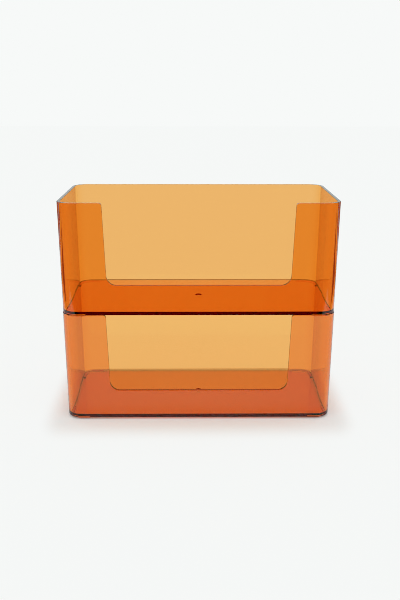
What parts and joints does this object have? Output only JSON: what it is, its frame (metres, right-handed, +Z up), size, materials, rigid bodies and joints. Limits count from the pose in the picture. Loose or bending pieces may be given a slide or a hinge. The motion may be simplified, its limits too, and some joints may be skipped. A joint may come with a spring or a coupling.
{
  "type": "letter tray stack",
  "caption": "Stack of clear amber open-front desk trays; corner ribs under each base drop inside the rim below, so a tray lifts straight off.",
  "frame": {"origin": "on the surface that the stack stands on, under the centre of the stack", "axes": "+X to the right as seen from the front, +Y to the back, +Z up; the trays' mouths face -Y"},
  "size_m": [0.25, 0.114, 0.2057],
  "materials": {
    "amber_plastic": "clear amber tint moulded through, polished on every face"
  },
  "bodies": {
    "lower_tray": {"lower_tray": "amber_plastic"},
    "upper_tray": {"upper_tray": "amber_plastic"}
  },
  "joints": [
    {"name": "upper_tray_lift", "type": "slide", "parent": "lower_tray", "child": "upper_tray", "axis": [0, 0, 1], "range_m": [0, 0.06]}
  ]
}
